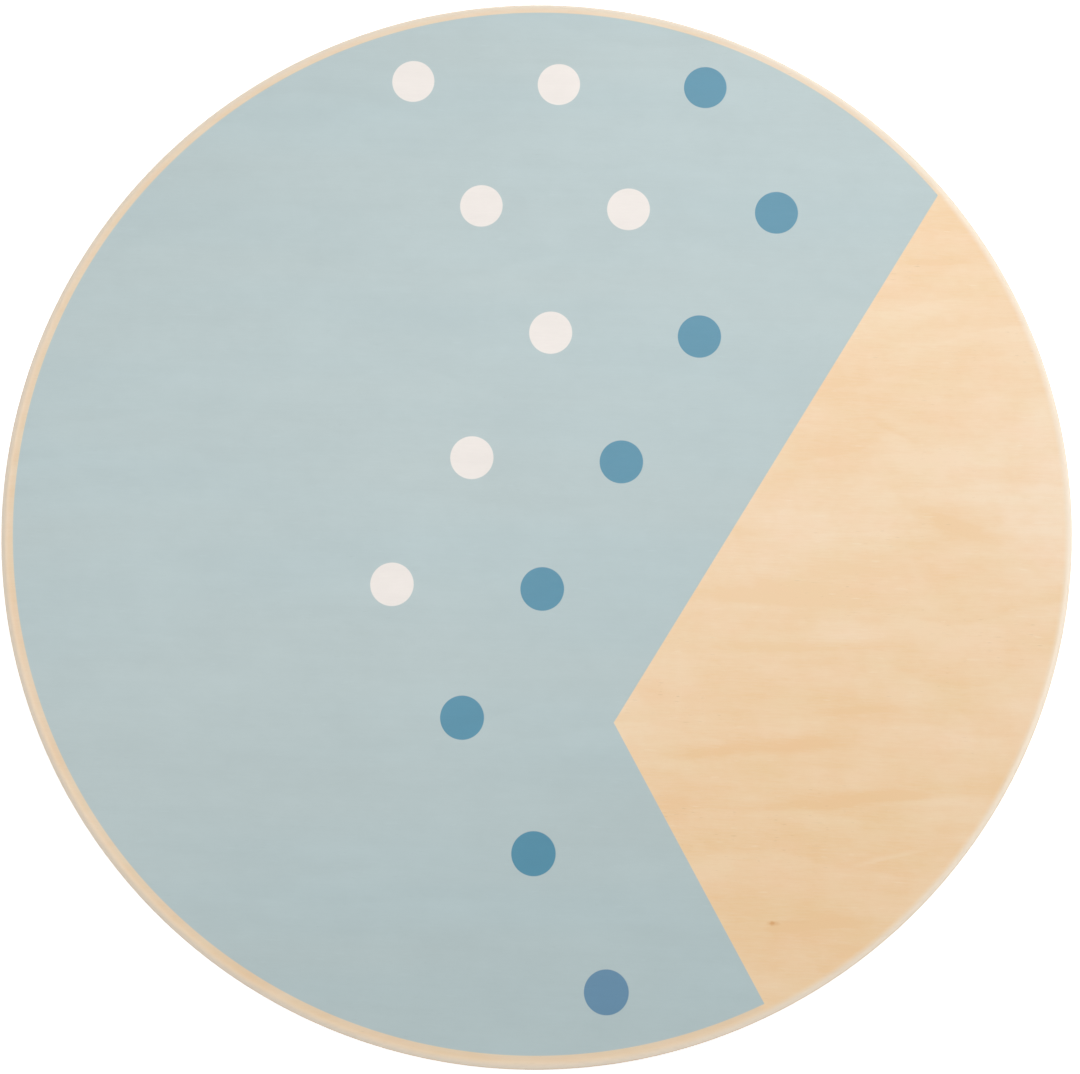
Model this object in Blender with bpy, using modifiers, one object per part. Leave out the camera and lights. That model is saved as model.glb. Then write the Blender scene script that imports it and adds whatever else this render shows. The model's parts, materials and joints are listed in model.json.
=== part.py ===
"""Round wooden balance board: a plywood deck screwed from below to a turned dome with a rubber crown.

Metres, +Z up. The origin is on the floor, under the centre of the board. The board rolls on the dome, so
nothing on it is jointed: every piece is fastened to the next.
"""

import math

import bpy

# Deck. A sheet of plywood, cut round, with its two edges eased.
DECK_RADIUS = 0.1975
DECK_THICKNESS = 0.015
EDGE_ROUNDING = 0.003
FACE_VENEER = 0.0012
CORE_PLIES = 7
GLUE_LINE = 0.00005

# Dome. A ball's cap with a straight band on top, which stands against the deck.
DECK_HEIGHT = 0.070
DOME_BALL_RADIUS = 0.088
DOME_BAND = 0.006
DOME_BAND_CHAMFER = 0.0012
LIP_CHAMFER = 0.0008

# Crown pad. Rubber, let into the dome, a little proud of the wood and flat at the very crown.
PAD_PROUD = 0.0012
PAD_FLAT_RADIUS = 0.015
PAD_THICKNESS = 0.010
PAD_MARGIN = 0.0015
GROOVE_COUNT = 3
GROOVE_WIDTH = 0.0014
GROOVE_DEPTH = 0.0011
PAD_WELL_RADIUS = 0.0085
PAD_WELL_DEPTH = 0.0062

# Dome screws, their washers and the threaded inserts in the deck.
SCREW_COUNT = 4
SCREW_CIRCLE = 0.060
SCREW_RADIUS = 0.003
SCREW_HEAD_RADIUS = 0.005
SCREW_HEAD_HEIGHT = 0.006
SOCKET_RADIUS = 0.0029
SOCKET_DEPTH = 0.003
WASHER_RADIUS = 0.006
WASHER_THICKNESS = 0.0016
WOOD_UNDER_HEAD = 0.028
COUNTERBORE_RADIUS = 0.0072
INSERT_RADIUS = 0.0046
INSERT_LENGTH = 0.010
INSERT_FLANGE_RADIUS = 0.0062
INSERT_FLANGE = 0.001
INSERT_END_ROOM = 0.0008

# Pad screw, a round-headed wood screw, and its washer.
PAD_SCREW_RADIUS = 0.002
PAD_SCREW_LENGTH = 0.022
PAD_SCREW_HEAD_RADIUS = 0.004
PAD_SCREW_HEAD_HEIGHT = 0.0024
PAD_SCREW_SOCKET_RADIUS = 0.0014
PAD_SCREW_SOCKET_DEPTH = 0.0013
PAD_WASHER_RADIUS = 0.0075
PAD_WASHER_THICKNESS = 0.0012

# Clearances: between pieces that seat on each other, and round a shank in its hole.
SEAT_GAP = 0.0003
SHANK_CLEARANCE = 0.0003
CUTTER_OVERRUN = 0.004

# How finely the turned shapes are stepped.
DECK_STEPS = 96
DOME_STEPS = 64
PAD_STEPS = 40
FASTENER_STEPS = 16
INSERT_STEPS = 12
ROUNDING_STEP = math.radians(14)
BALL_STEP = math.radians(5)
SMOOTH_BELOW = math.radians(35)

# Sizes that follow from those above.
DECK_TOP = DECK_HEIGHT + SEAT_GAP + DECK_THICKNESS
DECK_BOTTOM = DECK_HEIGHT + SEAT_GAP
CORE_PLY = (DECK_THICKNESS - 2 * FACE_VENEER) / CORE_PLIES
PAD_BALL_RADIUS = DOME_BALL_RADIUS + PAD_PROUD
BALL_CENTRE = math.sqrt(PAD_BALL_RADIUS**2 - PAD_FLAT_RADIUS**2)
BAND_BOTTOM = DECK_HEIGHT - DOME_BAND
DOME_RADIUS = math.sqrt(DOME_BALL_RADIUS**2 - (BALL_CENTRE - BAND_BOTTOM) ** 2)
HEAD_SEAT = DECK_HEIGHT - WOOD_UNDER_HEAD
SCREW_SEAT = HEAD_SEAT - SEAT_GAP - WASHER_THICKNESS - SEAT_GAP
INSERT_BOTTOM = DECK_BOTTOM + SEAT_GAP
INSERT_TOP = INSERT_BOTTOM + INSERT_LENGTH

# The board tilts until the lower corner of its deck meets the floor. The pad reaches just past the place
# that it then stands on, so that it always rolls on rubber.
CORNER_REACH = math.hypot(DECK_RADIUS, BALL_CENTRE - DECK_BOTTOM)
CORNER_ANGLE = math.atan2(BALL_CENTRE - DECK_BOTTOM, DECK_RADIUS)
FULL_TILT = math.asin(PAD_BALL_RADIUS / CORNER_REACH) - CORNER_ANGLE
PAD_RADIUS = PAD_BALL_RADIUS * math.sin(FULL_TILT) + PAD_MARGIN

BIRCH = (0.78, 0.62, 0.42)
BIRCH_CROSS_GRAIN = (0.60, 0.43, 0.26)
PALE_BLUE = (0.50, 0.60, 0.61)
BEECH = (0.66, 0.44, 0.27)
RUBBER = (0.03, 0.03, 0.032)
ZINC = (0.62, 0.63, 0.64)
BRASS = (0.72, 0.54, 0.24)


def clear_scene():
    for old in list(bpy.data.objects):
        bpy.data.objects.remove(old, do_unlink=True)


def new_collection(name, hidden=False):
    collection = bpy.data.collections.new(name)
    bpy.context.scene.collection.children.link(collection)
    collection.hide_render = hidden
    return collection


def material(name, colour, roughness, metallic=0.0):
    made = bpy.data.materials.new(name)
    made.use_nodes = True
    shader = made.node_tree.nodes["Principled BSDF"]
    shader.inputs["Base Color"].default_value = (*colour, 1.0)
    shader.inputs["Roughness"].default_value = roughness
    shader.inputs["Metallic"].default_value = metallic
    made.diffuse_color = (*colour, 1.0)
    return made


def arc(centre, radius, start, end, largest_step):
    """Points on an arc in the (radius, height) plane, both ends included. Angles run from +X towards +Z."""
    count = max(1, math.ceil(abs(end - start) / largest_step - 1e-6))
    turns = [start + (end - start) * i / count for i in range(count + 1)]
    return [(centre[0] + radius * math.cos(a), centre[1] + radius * math.sin(a)) for a in turns]


def without_repeats(points):
    kept = [points[0]]
    for point in points[1:]:
        if math.dist(point, kept[-1]) > 1e-6:
            kept.append(point)
    return kept


def turned(name, points, steps, collection, finish=None):
    """A turned solid. The profile is (radius, height) points, from the top down the outside, then back up."""
    profile = without_repeats(points)
    mesh = bpy.data.meshes.new(name)
    edges = [(i, i + 1) for i in range(len(profile) - 1)]
    if profile[0][0] > 0:
        edges.append((len(profile) - 1, 0))
    mesh.from_pydata([(radius, 0.0, height) for radius, height in profile], edges, [])
    solid = bpy.data.objects.new(name, mesh)
    collection.objects.link(solid)
    screw = solid.modifiers.new("Turn", "SCREW")
    screw.steps = steps
    screw.render_steps = steps
    screw.use_merge_vertices = True
    screw.merge_threshold = 0.00001
    screw.use_smooth_shade = True
    if finish:
        mesh.materials.append(finish)
    return solid


def crisp(solid):
    """Turns the modifiers into a mesh whose corners stay sharp while its round faces shade smooth."""
    graph = bpy.context.evaluated_depsgraph_get()
    mesh = bpy.data.meshes.new_from_object(solid.evaluated_get(graph))
    solid.modifiers.clear()
    solid.data = mesh
    mesh.name = solid.name
    mesh.shade_smooth()
    mesh.set_sharp_from_angle(angle=SMOOTH_BELOW)
    return solid


def cut(solid, cutter):
    """Takes a cutter, or every cutter in a collection, out of the solid."""
    modifier = solid.modifiers.new("Cut " + cutter.name, "BOOLEAN")
    modifier.operation = "DIFFERENCE"
    modifier.solver = "EXACT"
    if isinstance(cutter, bpy.types.Collection):
        modifier.operand_type = "COLLECTION"
        modifier.collection = cutter
    else:
        modifier.object = cutter


def hide(cutter):
    cutter.hide_render = True
    cutter.display_type = "WIRE"
    return cutter


def around_circle(count, radius):
    """Places on the screw circle, with none on the X or Y axis for an even count of four."""
    for index in range(count):
        angle = 2 * math.pi * (index + 0.5) / count
        yield index + 1, (radius * math.cos(angle), radius * math.sin(angle)), angle


def edge_radius(height):
    """The deck's radius at a height: straight in the middle, rounded towards its top and its bottom."""
    from_face = min(DECK_TOP - height, height - DECK_BOTTOM)
    if from_face >= EDGE_ROUNDING:
        return DECK_RADIUS
    drop = max(0.0, EDGE_ROUNDING - from_face)
    return DECK_RADIUS - EDGE_ROUNDING + math.sqrt(max(0.0, EDGE_ROUNDING**2 - drop**2))


def edge_heights(top, bottom):
    """Heights from a ply's top to its bottom at which its rim needs a point, close together on a rounding."""
    heights = [top, bottom]
    for centre, side in ((DECK_TOP - EDGE_ROUNDING, 1), (DECK_BOTTOM + EDGE_ROUNDING, -1)):
        count = math.ceil(math.pi / 2 / ROUNDING_STEP)
        for i in range(count + 1):
            height = centre + side * EDGE_ROUNDING * math.sin(math.pi / 2 * i / count)
            if bottom + GLUE_LINE < height < top - GLUE_LINE:
                heights.append(height)
    return sorted(heights, reverse=True)


def ply(name, top, bottom, finish, collection):
    """One veneer of the deck, turned to the part of the deck's edge that lies between its faces."""
    rim = [(edge_radius(height), height) for height in edge_heights(top, bottom)]
    return turned(name, [(0.0, top), *rim, (0.0, bottom)], DECK_STEPS, collection, finish)


def insert_hole_cutter(name, cutters):
    """The hole for one threaded insert: a shallow seat for the flange, then the hole for the barrel."""
    seat_top = INSERT_BOTTOM + INSERT_FLANGE + SEAT_GAP
    hole_top = INSERT_TOP + INSERT_END_ROOM
    barrel = INSERT_RADIUS + SEAT_GAP
    flange = INSERT_FLANGE_RADIUS + SEAT_GAP
    below = DECK_BOTTOM - CUTTER_OVERRUN
    points = [(0.0, hole_top), (barrel, hole_top), (barrel, seat_top), (flange, seat_top), (flange, below), (0.0, below)]
    return hide(turned(name, points, INSERT_STEPS, cutters))


def make_deck(parts, insert_cutters):
    """The plies from the top down. Those that the inserts reach into are drilled."""
    long_grain = material("birch_long_grain", BIRCH, 0.45)
    cross_grain = material("birch_cross_grain", BIRCH_CROSS_GRAIN, 0.55)
    printed = material("printed_veneer", PALE_BLUE, 0.40)
    drilled_to = INSERT_TOP + INSERT_END_ROOM
    plies = [("top_face_veneer", FACE_VENEER, printed)]
    for index in range(CORE_PLIES):
        plies.append((f"core_ply_{index + 1}", CORE_PLY, long_grain if index % 2 else cross_grain))
    plies.append(("bottom_face_veneer", FACE_VENEER, long_grain))
    top = DECK_TOP
    for name, thickness, finish in plies:
        bottom = top - thickness
        upper = top if top == DECK_TOP else top - GLUE_LINE / 2
        lower = DECK_BOTTOM if name == "bottom_face_veneer" else bottom + GLUE_LINE / 2
        sheet = ply(name, upper, lower, finish, parts)
        if lower < drilled_to:
            cut(sheet, insert_cutters)
        crisp(sheet)
        top = bottom


def counterbore_cutter(name, cutters):
    """A screw's way through the dome: a clearance hole, and a counterbore for the washer and the head."""
    shank = SCREW_RADIUS + SHANK_CLEARANCE
    above = DECK_HEIGHT + CUTTER_OVERRUN
    points = [
        (0.0, above),
        (shank, above),
        (shank, HEAD_SEAT),
        (COUNTERBORE_RADIUS, HEAD_SEAT),
        (COUNTERBORE_RADIUS, -CUTTER_OVERRUN),
        (0.0, -CUTTER_OVERRUN),
    ]
    return hide(turned(name, points, FASTENER_STEPS, cutters))


def height_on_ball(ball_radius, radius):
    """How high a ball about the dome's centre is above the floor, at a radius from the axis."""
    return BALL_CENTRE - math.sqrt(ball_radius**2 - radius**2)


def make_dome(parts, screw_cutters):
    """The dome, turned from one block, with the pad's recess and pilot hole at its crown."""
    recess_radius = PAD_RADIUS + SEAT_GAP
    recess_floor = PAD_THICKNESS + SEAT_GAP
    lip_radius = recess_radius + LIP_CHAMFER
    lip_height = height_on_ball(DOME_BALL_RADIUS, lip_radius)
    pilot_radius = PAD_SCREW_RADIUS + SHANK_CLEARANCE
    pilot_end = PAD_WELL_DEPTH - SEAT_GAP + PAD_SCREW_LENGTH + CUTTER_OVERRUN
    start = -math.asin((BALL_CENTRE - BAND_BOTTOM) / DOME_BALL_RADIUS)
    end = -math.acos(lip_radius / DOME_BALL_RADIUS)
    points = [
        (0.0, DECK_HEIGHT),
        (DOME_RADIUS - DOME_BAND_CHAMFER, DECK_HEIGHT),
        (DOME_RADIUS, DECK_HEIGHT - DOME_BAND_CHAMFER),
        *arc((0.0, BALL_CENTRE), DOME_BALL_RADIUS, start, end, BALL_STEP),
        (recess_radius, lip_height + LIP_CHAMFER),
        (recess_radius, recess_floor),
        (pilot_radius, recess_floor),
        (pilot_radius, pilot_end),
        (0.0, pilot_end),
    ]
    dome = turned("rocker_dome", points, DOME_STEPS, parts, material("turned_beech", BEECH, 0.38))
    cut(dome, screw_cutters)
    return crisp(dome)


def grooved_tread():
    """The pad's outside from its edge to its flat crown, with a ring groove at even steps between."""
    edge_angle = math.acos(PAD_RADIUS / PAD_BALL_RADIUS)
    flat_angle = math.acos(PAD_FLAT_RADIUS / PAD_BALL_RADIUS)
    pitch = (flat_angle - edge_angle) / (GROOVE_COUNT + 1)
    half_width = GROOVE_WIDTH / 2 / PAD_BALL_RADIUS
    points = [(PAD_RADIUS, height_on_ball(PAD_BALL_RADIUS, PAD_RADIUS))]
    for index in range(GROOVE_COUNT):
        middle = edge_angle + pitch * (index + 1)
        for angle, ball in (
            (middle - half_width, PAD_BALL_RADIUS),
            (middle - half_width, PAD_BALL_RADIUS - GROOVE_DEPTH),
            (middle + half_width, PAD_BALL_RADIUS - GROOVE_DEPTH),
            (middle + half_width, PAD_BALL_RADIUS),
        ):
            points.append((ball * math.cos(angle), BALL_CENTRE - ball * math.sin(angle)))
    points.append((PAD_FLAT_RADIUS, 0.0))
    return points


def make_crown_pad(parts):
    """The rubber pad: it stands on its flat ring, and its screw sits in the well inside that ring."""
    hole = PAD_SCREW_RADIUS + SHANK_CLEARANCE
    points = [
        (hole, PAD_THICKNESS),
        (PAD_RADIUS, PAD_THICKNESS),
        *grooved_tread(),
        (PAD_WELL_RADIUS, 0.0),
        (PAD_WELL_RADIUS, PAD_WELL_DEPTH),
        (hole, PAD_WELL_DEPTH),
    ]
    return crisp(turned("crown_pad", points, PAD_STEPS, parts, material("black_rubber", RUBBER, 0.75)))


def washer(name, hole, radius, thickness, bottom, finish, parts, place=(0.0, 0.0)):
    points = [(hole, thickness), (radius, thickness), (radius, 0.0), (hole, 0.0)]
    made = crisp(turned(name, points, FASTENER_STEPS, parts, finish))
    made.location = (*place, bottom)
    return made


def screw_profile(radius, length, head_radius, head_height, head_easing, point):
    """A screw that points up, with the underside of its head at height zero."""
    return [
        (0.0, length),
        (radius - point, length),
        (radius, length - point),
        (radius, 0.0),
        (head_radius, 0.0),
        (head_radius, -head_height + head_easing),
        (head_radius - head_easing, -head_height),
        (0.0, -head_height),
    ]


def socket_cutter(name, radius, depth, head_height, cutters):
    """A six-sided socket that opens at the bottom of a screw's head."""
    top = depth - head_height
    below = -head_height - CUTTER_OVERRUN
    points = [(0.0, top), (radius, top), (radius, below), (0.0, below)]
    return hide(turned(name, points, 6, cutters))


def make_dome_screws(parts, cutters, finish):
    """One screw and one washer in each counterbore, each screw's end inside its insert."""
    insert_grip = INSERT_TOP - SCREW_SEAT
    easing = SCREW_HEAD_HEIGHT * 0.1
    profile = screw_profile(SCREW_RADIUS, insert_grip, SCREW_HEAD_RADIUS, SCREW_HEAD_HEIGHT, easing, SCREW_RADIUS * 0.2)
    socket = socket_cutter("dome_screw_socket", SOCKET_RADIUS, SOCKET_DEPTH, SCREW_HEAD_HEIGHT, cutters)
    washer_hole = SCREW_RADIUS + SHANK_CLEARANCE
    for number, place, turn in around_circle(SCREW_COUNT, SCREW_CIRCLE):
        screw = turned(f"dome_screw_{number}", profile, FASTENER_STEPS, parts, finish)
        cut(screw, socket)
        crisp(screw)
        screw.location = (*place, SCREW_SEAT)
        screw.rotation_euler = (0.0, 0.0, turn)
        bottom = SCREW_SEAT + SEAT_GAP
        name = f"dome_screw_washer_{number}"
        washer(name, washer_hole, WASHER_RADIUS, WASHER_THICKNESS, bottom, finish, parts, place)


def make_inserts(parts, finish):
    """Flanged bushes let into the deck from below, with the screws' ends in their bores."""
    bore = SCREW_RADIUS + SHANK_CLEARANCE
    chamfer = SHANK_CLEARANCE * 2
    points = [
        (bore, INSERT_LENGTH),
        (INSERT_RADIUS - chamfer, INSERT_LENGTH),
        (INSERT_RADIUS, INSERT_LENGTH - chamfer),
        (INSERT_RADIUS, INSERT_FLANGE),
        (INSERT_FLANGE_RADIUS, INSERT_FLANGE),
        (INSERT_FLANGE_RADIUS, 0.0),
        (bore, 0.0),
    ]
    for number, place, turn in around_circle(SCREW_COUNT, SCREW_CIRCLE):
        made = crisp(turned(f"threaded_insert_{number}", points, INSERT_STEPS, parts, finish))
        made.location = (*place, INSERT_BOTTOM)


def make_pad_screw(parts, cutters, finish):
    """The pad's washer against the floor of its well, and the wood screw that holds both."""
    washer_bottom = PAD_WELL_DEPTH - SEAT_GAP - PAD_WASHER_THICKNESS
    hole = PAD_SCREW_RADIUS + SHANK_CLEARANCE
    washer("crown_pad_washer", hole, PAD_WASHER_RADIUS, PAD_WASHER_THICKNESS, washer_bottom, finish, parts)
    easing = PAD_SCREW_HEAD_HEIGHT * 0.45
    point = PAD_SCREW_RADIUS * 0.8
    head = PAD_SCREW_HEAD_RADIUS
    profile = screw_profile(PAD_SCREW_RADIUS, PAD_SCREW_LENGTH, head, PAD_SCREW_HEAD_HEIGHT, easing, point)
    screw = turned("crown_pad_screw", profile, FASTENER_STEPS, parts, finish)
    socket = socket_cutter(
        "pad_screw_socket", PAD_SCREW_SOCKET_RADIUS, PAD_SCREW_SOCKET_DEPTH, PAD_SCREW_HEAD_HEIGHT, cutters
    )
    cut(screw, socket)
    crisp(screw)
    screw.location = (0.0, 0.0, washer_bottom - SEAT_GAP)


def at_each_screw(make_cutter, name, collection):
    """One cutter at each place on the screw circle."""
    for number, place, turn in around_circle(SCREW_COUNT, SCREW_CIRCLE):
        cutter = make_cutter(f"{name}_{number}", collection)
        cutter.location = (*place, 0.0)


def main():
    clear_scene()
    parts = new_collection("balance_board")
    sockets = new_collection("socket_cutters", hidden=True)
    insert_holes = new_collection("insert_hole_cutters", hidden=True)
    counterbores = new_collection("counterbore_cutters", hidden=True)
    at_each_screw(insert_hole_cutter, "insert_hole", insert_holes)
    at_each_screw(counterbore_cutter, "counterbore", counterbores)
    bpy.context.view_layer.update()
    zinc = material("zinc_plated_steel", ZINC, 0.35, metallic=1.0)
    make_deck(parts, insert_holes)
    make_dome(parts, counterbores)
    make_crown_pad(parts)
    make_dome_screws(parts, sockets, zinc)
    make_inserts(parts, material("brass", BRASS, 0.35, metallic=1.0))
    make_pad_screw(parts, sockets, zinc)
    bpy.context.view_layer.update()


main()
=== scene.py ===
import json
import math

import bpy
from mathutils import Matrix, Vector


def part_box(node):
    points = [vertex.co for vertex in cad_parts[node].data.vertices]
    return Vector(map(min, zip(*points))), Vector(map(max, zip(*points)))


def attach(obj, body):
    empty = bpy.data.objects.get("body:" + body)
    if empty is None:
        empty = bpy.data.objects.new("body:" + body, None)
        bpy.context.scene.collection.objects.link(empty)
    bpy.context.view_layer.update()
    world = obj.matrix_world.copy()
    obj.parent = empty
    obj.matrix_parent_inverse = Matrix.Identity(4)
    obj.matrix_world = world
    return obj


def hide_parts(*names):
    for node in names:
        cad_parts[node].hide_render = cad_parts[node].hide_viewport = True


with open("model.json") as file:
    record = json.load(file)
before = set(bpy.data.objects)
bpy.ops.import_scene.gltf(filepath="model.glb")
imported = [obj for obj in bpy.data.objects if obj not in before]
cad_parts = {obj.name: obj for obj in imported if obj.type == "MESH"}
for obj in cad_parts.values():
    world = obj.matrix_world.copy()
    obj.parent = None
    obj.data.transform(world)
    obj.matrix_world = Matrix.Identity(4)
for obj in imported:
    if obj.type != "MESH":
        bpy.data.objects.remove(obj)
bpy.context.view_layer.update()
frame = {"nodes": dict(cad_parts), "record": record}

# Camera. It stands almost straight above the printed face. Its turn, place and lens come from the dots'
# triangular grid. The picture is taken to be 1080 by 1074, with the lens axis through its middle.
PICTURE_WIDTH = 1080
FOCAL_PIXELS = 1725.31
SENSOR_WIDTH = 36.0
CAMERA_RIGHT = (0.9990190, 0.0330925, -0.0294261)
CAMERA_UP = (-0.0297124, 0.9936308, 0.1086967)
CAMERA_BACK = (0.0328357, -0.1077158, 0.9936393)
CAMERA_PLACE = (0.0241, -0.0748)
CAMERA_ABOVE_DECK = 0.629
CAMERA_CLIP = 0.01

# Studio. The floor's glow rises to 1 between two distances from the middle. Each lamp is its size, its
# radiance, its reach from the deck, its lean from straight up to +X and to +Y, and its roll.
FLOOR_HALF = 3.0
FLOOR_COLOUR = (0.85, 0.85, 0.85)
FLOOR_GLOW = 0.63
FLOOR_GLOW_RISE = (0.5, 1.6)
WORLD_LIGHT = 0.03
HORIZON_LIGHT = 1.75
HORIZON_LEAN = -0.5
HORIZON_SHARPNESS = 3.0
SOFTBOX = ((3.8, 0.95), 3.55, 1.75, (7.5, 22.0), 30.0)
SIDE_LAMP = ((0.8, 0.5), 4.0, 1.6, (58.0, -14.0), 0.0)

# The print, in metres from the middle of the deck. A dot is a (column, row) of the triangular grid. The
# halo's and the pale rim's pairs are the distances from the field's edge outward, and from the deck's rim
# inward, at which they start and are full. The pale rim is sanded wood with painted sheen in it.
FIELD_RADIUS = 0.1928
FIELD_CENTRE = (0.0005, 0.0007)
WEDGE_APEX = (0.03225, -0.07341)
WEDGE_HALF_ANGLE = math.radians(60)
DOT_RADIUS = 0.0080
DOT_SPACING = 0.05516
FIRST_DOT = (-0.0504, 0.1654)
WHITE_DOTS = [(0, 0), (2, 0), (1, 1), (3, 1), (2, 2), (1, 3), (0, 4)]
BLUE_DOTS = [(4, 0), (5, 1), (4, 2), (3, 3), (2, 4), (1, 5), (2, 6)]
VIOLET_DOTS = [(3, 7)]
PRINT_EDGE = 0.00012
INK_HALO = (0.0035, 0.0002)
INK_HALO_STRENGTH = 0.19
SANDED_AND_SHEEN_RIM = (0.0041, 0.0013)
SANDED_AND_SHEEN_RIM_STRENGTH = 0.85

# The clearest growth bands of the bare wedge. Each is its clear edge's middle, its half length, how far it
# fades out above that edge (or below, if less than zero), its rise to the right, and the honey it adds.
# The softness of the clear edge is a share of the fade, and the core, where it is full, of the half length.
WOOD_BANDS = [
    ((0.145, 0.0992), 0.020, 0.0045, 0.06, 0.60),
    ((0.104, 0.0185), 0.026, 0.0200, 0.23, 0.55),
    ((0.131, 0.0360), 0.012, 0.0050, -0.45, 0.40),
    ((0.154, 0.0050), 0.022, -0.0080, -0.36, 0.50),
    ((0.184, -0.0020), 0.016, 0.0160, -0.10, -0.50),
    ((0.082, -0.0280), 0.034, 0.0110, 0.00, 0.80),
    ((0.110, -0.0445), 0.050, 0.0060, 0.04, 0.35),
    ((0.119, -0.0670), 0.020, 0.0040, 0.08, 0.45),
    ((0.084, -0.0830), 0.046, 0.0065, 0.07, 0.75),
    ((0.119, -0.1000), 0.050, 0.0065, 0.12, 0.75),
    ((0.132, -0.1190), 0.016, 0.0030, 0.30, -0.50),
    ((0.106, -0.1440), 0.026, 0.0045, 0.08, 0.65),
]
BAND_EDGE = 0.20
BAND_CORE = 0.3

# The wedge's slow changes of tone. Each is its middle, its half width and height, and how pale it is (or
# how honey, if less than zero). It is full in its core, a share of its half width and height.
WOOD_PATCHES = [
    ((0.200, 0.018), (0.060, 0.068), 0.50),
    ((0.095, -0.016), (0.055, 0.060), 0.28),
    ((0.090, -0.103), (0.072, 0.078), -0.32),
    ((0.142, -0.035), (0.034, 0.028), -0.18),
]
PATCH_CORE = 0.3

# The pin knot: its heart, the eye round it, and its tail. Each is its offset, what the distances along and
# across the grain are multiplied by, how ragged it is, how far out it starts and is full, and its strength.
KNOT_PLACE = (0.0908, -0.1427, 0.0)
KNOT_PARTS = [
    ((0.0, 0.0), (1.0, 1.5), 0.0012, (0.0017, 0.0003), 0.88),
    ((0.0004, 0.0), (0.8, 2.3), 0.0, (0.0026, 0.0006), 0.42),
    ((0.0065, 0.0008), (1.0, 9.0), 0.0, (0.0085, 0.0), 0.10),
]

# Colours, in linear light.
PALE_WOOD = (0.784, 0.590, 0.392)
HONEY_WOOD = (0.752, 0.516, 0.292)
FLECK_WOOD = tuple(0.62 * c for c in HONEY_WOOD)
KNOT_WOOD = (0.600, 0.300, 0.105)
ROSY_DRIFT = (1.012, 0.992, 1.006)
GREENISH_DRIFT = (0.988, 1.008, 0.994)
PALE_TONE = (1.02, 1.06, 1.14)
HONEY_TONE = (0.98, 0.94, 0.86)
# The pale rim and edge colour: sanded wood, with painted sheen in it.
EDGE_WOOD_AND_SHEEN = (0.766, 0.671, 0.551)
END_GRAIN_TINT = (0.89, 0.83, 0.76)
PORE_WOOD = (0.230, 0.130, 0.065)
FIELD_PAINT = (0.389, 0.472, 0.478)
COOL_FIELD_PAINT = (0.382, 0.474, 0.486)
WHITE_PAINT = (0.752, 0.700, 0.660)
BLUE_PAINT = (0.038, 0.196, 0.293)
VIOLET_PAINT = (0.085, 0.200, 0.310)
BEECH = (0.690, 0.475, 0.300)
DARK_BEECH = (0.530, 0.328, 0.190)
RAY_WOOD = (0.320, 0.175, 0.090)
RUBBER = (0.028, 0.028, 0.030)
PALE_RUBBER = tuple(2.6 * c for c in RUBBER)
ZINC = (0.66, 0.67, 0.69)
BRASS = (0.72, 0.54, 0.24)
DULL_METAL = 0.93

# Noises. Each ends with its cells to a metre along each axis, its detail, and its roughness unless that is
# a half. A swing begins with how far the noise moves a value. A graded noise begins with the span it is
# taken from and the span it is mapped to.
RING_SWINGS = [
    (5.5, (6.0, 14.0, 30.0), 2.0),
    (0.45, (28.0, 60.0, 90.0), 1.0),
]
RING_STRENGTH = ((0.36, 0.62), (0.15, 1.0), (7.0, 24.0, 24.0), 1.0)
VENEER_SWINGS = [
    (1.15, (16.0, 34.0, 34.0), 1.0),
    (0.70, (20.0, 60.0, 60.0), 3.0),
    (1.60, (55.0, 80.0, 80.0), 4.0, 0.65),
    (0.75, (18.0, 330.0, 330.0), 3.0),
]
VENEER_FIBRES = ((170.0, 1700.0, 1700.0), 2.0)
GLINTS = ((0.70, 0.80), (0.0, 1.0), (120.0, 750.0, 750.0), 1.0)
FLECKS = ((0.76, 0.86), (0.0, 1.0), (330.0, 2300.0, 2300.0), 0.0)
FLECK_PATCHES = ((0.48, 0.62), (0.0, 1.0), (14.0, 40.0, 40.0), 1.0)
BAND_WARP = ((22.0, 60.0, 1.0), 3.0)
TONE_DRIFT = ((0.3, 0.7), (0.0, 1.0), (25.0, 60.0, 1.0), 4.0, 0.65)
KNOT_RAGS = ((900.0, 1500.0, 1.0), 2.0)
PAINT_CLOUD = ((0.38, 0.62), (0.0, 1.0), (3.5, 24.0, 1.0), 2.0)
PAINT_SWINGS = [(0.035, (110.0, 130.0, 1.0), 4.0, 0.65)]
PEELING_CHECKS = ((0.60, 0.72), (0.0, 0.26), (60.0, 2500.0, 420.0), 1.0)
PORES = ((0.62, 0.74), (0.0, 0.40), (240.0, 4200.0, 4200.0), 0.0)
END_MOTTLE = ((0.3, 0.7), (0.90, 1.08), (70.0, 260.0, 1300.0), 3.0)
BEECH_RING_SWINGS = [(7.0, (5.0, 12.0, 12.0), 2.0)]
BEECH_RING_STRENGTH = ((0.3, 0.7), (0.12, 0.42), (9.0, 40.0, 40.0), 2.0)
BEECH_SWINGS = [(0.9, (10.0, 45.0, 45.0), 3.0)]
BEECH_FIBRES = ((160.0, 1500.0, 1500.0), 2.0)
BEECH_RAYS = ((0.70, 0.80), (0.0, 1.0), (330.0, 1500.0, 1500.0), 0.0)
TURNING_MARKS = ((0.0, 0.0, 1800.0), 1.0)
RUBBER_CLOUD = ((70.0, 70.0, 70.0), 3.0)
RUBBER_GRIT = ((2600.0, 2600.0, 2600.0), 2.0)
METAL_CLOUD = ((220.0, 220.0, 220.0), 3.0)
METAL_MARKS = ((900.0, 900.0, 6000.0), 1.0)

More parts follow.
